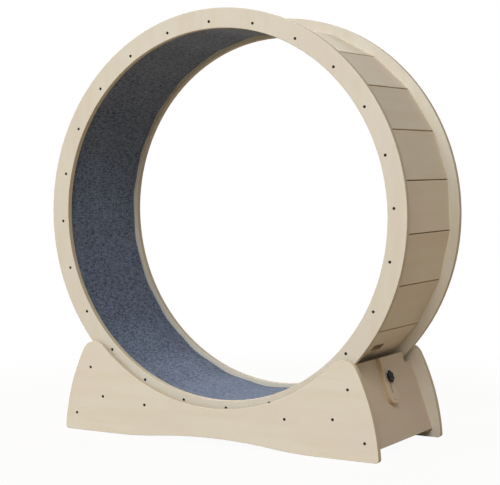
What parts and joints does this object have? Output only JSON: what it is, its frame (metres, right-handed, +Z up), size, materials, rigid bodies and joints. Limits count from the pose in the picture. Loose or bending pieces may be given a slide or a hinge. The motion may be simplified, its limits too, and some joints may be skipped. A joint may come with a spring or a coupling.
{
  "type": "cat exercise wheel",
  "caption": "Free-standing cat running wheel: a carpet-lined plywood drum that turns on grooved rollers in a plywood stand, with a sliding lock board and knob.",
  "frame": {"origin": "on the floor, under the middle of the wheel", "axes": "+X along the stand towards the lock, +Y along the wheel's axis from front to rear, +Z up"},
  "size_m": [1, 0.3748, 1.056],
  "materials": {
    "ring_plywood": "sanded birch plywood, clear matt finish",
    "slat_plywood": "sanded birch plywood, clear matt finish",
    "stand_plywood": "sanded birch plywood, clear matt finish",
    "panel_plywood": "sanded birch plywood, clear matt finish",
    "lock_plywood": "sanded birch plywood, clear matt finish",
    "carpet": "short looped pile",
    "black_screws": "black, satin",
    "roller_nylon": "turned nylon",
    "bearing_steel": "ground",
    "bracket_steel": "zinc plated sheet",
    "plated_steel": "zinc plated",
    "knob_plastic": "moulded, fine grain"
  },
  "bodies": {
    "stand": {"side_plate_front": "stand_plywood", "side_plate_rear": "stand_plywood", "stand_screws_front": "black_screws", "stand_screws_rear": "black_screws", "end_panel_right": "panel_plywood", "end_panel_left": "panel_plywood", "roller_board_right": "stand_plywood", "roller_board_left": "stand_plywood", "roller_bracket_front_right": "bracket_steel", "roller_bracket_front_left": "bracket_steel", "roller_bracket_rear_right": "bracket_steel", "roller_bracket_rear_left": "bracket_steel", "bracket_screws": "plated_steel", "axle_bolts": "plated_steel", "axle_nuts": "plated_steel", "bearing_inner_races": "bearing_steel", "lock_t_nut": "plated_steel"},
    "wheel": {"ring_front": "ring_plywood", "ring_rear": "ring_plywood", "ring_screws_front": "black_screws", "ring_screws_rear": "black_screws", "slat_slotted": "slat_plywood", "slat_01": "slat_plywood", "slat_02": "slat_plywood", "slat_03": "slat_plywood", "slat_04": "slat_plywood", "slat_05": "slat_plywood", "slat_06": "slat_plywood", "slat_07": "slat_plywood", "slat_08": "slat_plywood", "slat_09": "slat_plywood", "slat_10": "slat_plywood", "slat_11": "slat_plywood", "slat_12": "slat_plywood", "slat_13": "slat_plywood", "slat_14": "slat_plywood", "slat_15": "slat_plywood", "slat_16": "slat_plywood", "slat_17": "slat_plywood", "slat_18": "slat_plywood", "slat_19": "slat_plywood", "slat_20": "slat_plywood", "slat_21": "slat_plywood", "slat_22": "slat_plywood", "slat_23": "slat_plywood", "running_mat": "carpet"},
    "roller_front_right": {"roller_front_right": "roller_nylon", "bearing_outer_races_front_right": "bearing_steel"},
    "roller_front_left": {"roller_front_left": "roller_nylon", "bearing_outer_races_front_left": "bearing_steel"},
    "roller_rear_right": {"roller_rear_right": "roller_nylon", "bearing_outer_races_rear_right": "bearing_steel"},
    "roller_rear_left": {"roller_rear_left": "roller_nylon", "bearing_outer_races_rear_left": "bearing_steel"},
    "lock": {"lock_board": "lock_plywood"},
    "knob": {"lock_knob": "knob_plastic", "lock_stud": "plated_steel", "lock_washer": "plated_steel"}
  },
  "joints": [
    {"name": "wheel_spin", "type": "hinge", "parent": "stand", "child": "wheel", "pos_m": [0, 0, 0.556], "axis": [0, 1, 0], "continuous": true},
    {"name": "roller_front_right_spin", "type": "hinge", "parent": "stand", "child": "roller_front_right", "pos_m": [0.29992, -0.1556, 0.13084], "axis": [0, 1, 0], "continuous": true},
    {"name": "roller_front_left_spin", "type": "hinge", "parent": "stand", "child": "roller_front_left", "pos_m": [-0.29992, -0.1556, 0.13084], "axis": [0, 1, 0], "continuous": true},
    {"name": "roller_rear_right_spin", "type": "hinge", "parent": "stand", "child": "roller_rear_right", "pos_m": [0.29992, 0.1556, 0.13084], "axis": [0, 1, 0], "continuous": true},
    {"name": "roller_rear_left_spin", "type": "hinge", "parent": "stand", "child": "roller_rear_left", "pos_m": [-0.29992, 0.1556, 0.13084], "axis": [0, 1, 0], "continuous": true},
    {"name": "lock_slide", "type": "slide", "parent": "stand", "child": "lock", "axis": [-0.343, 0, 0.9393], "range_m": [0, 0.0206]},
    {"name": "knob_turn", "type": "hinge", "parent": "stand", "child": "knob", "pos_m": [0.37992, 0, 0.1695], "axis": [0.9393, 0, 0.343], "range_deg": [0, 360]}
  ],
  "couplings": [
    {"joint": "roller_front_right_spin", "follows": "wheel_spin", "ratio": -25},
    {"joint": "roller_front_left_spin", "follows": "wheel_spin", "ratio": -25},
    {"joint": "roller_rear_right_spin", "follows": "wheel_spin", "ratio": -25},
    {"joint": "roller_rear_left_spin", "follows": "wheel_spin", "ratio": -25}
  ]
}
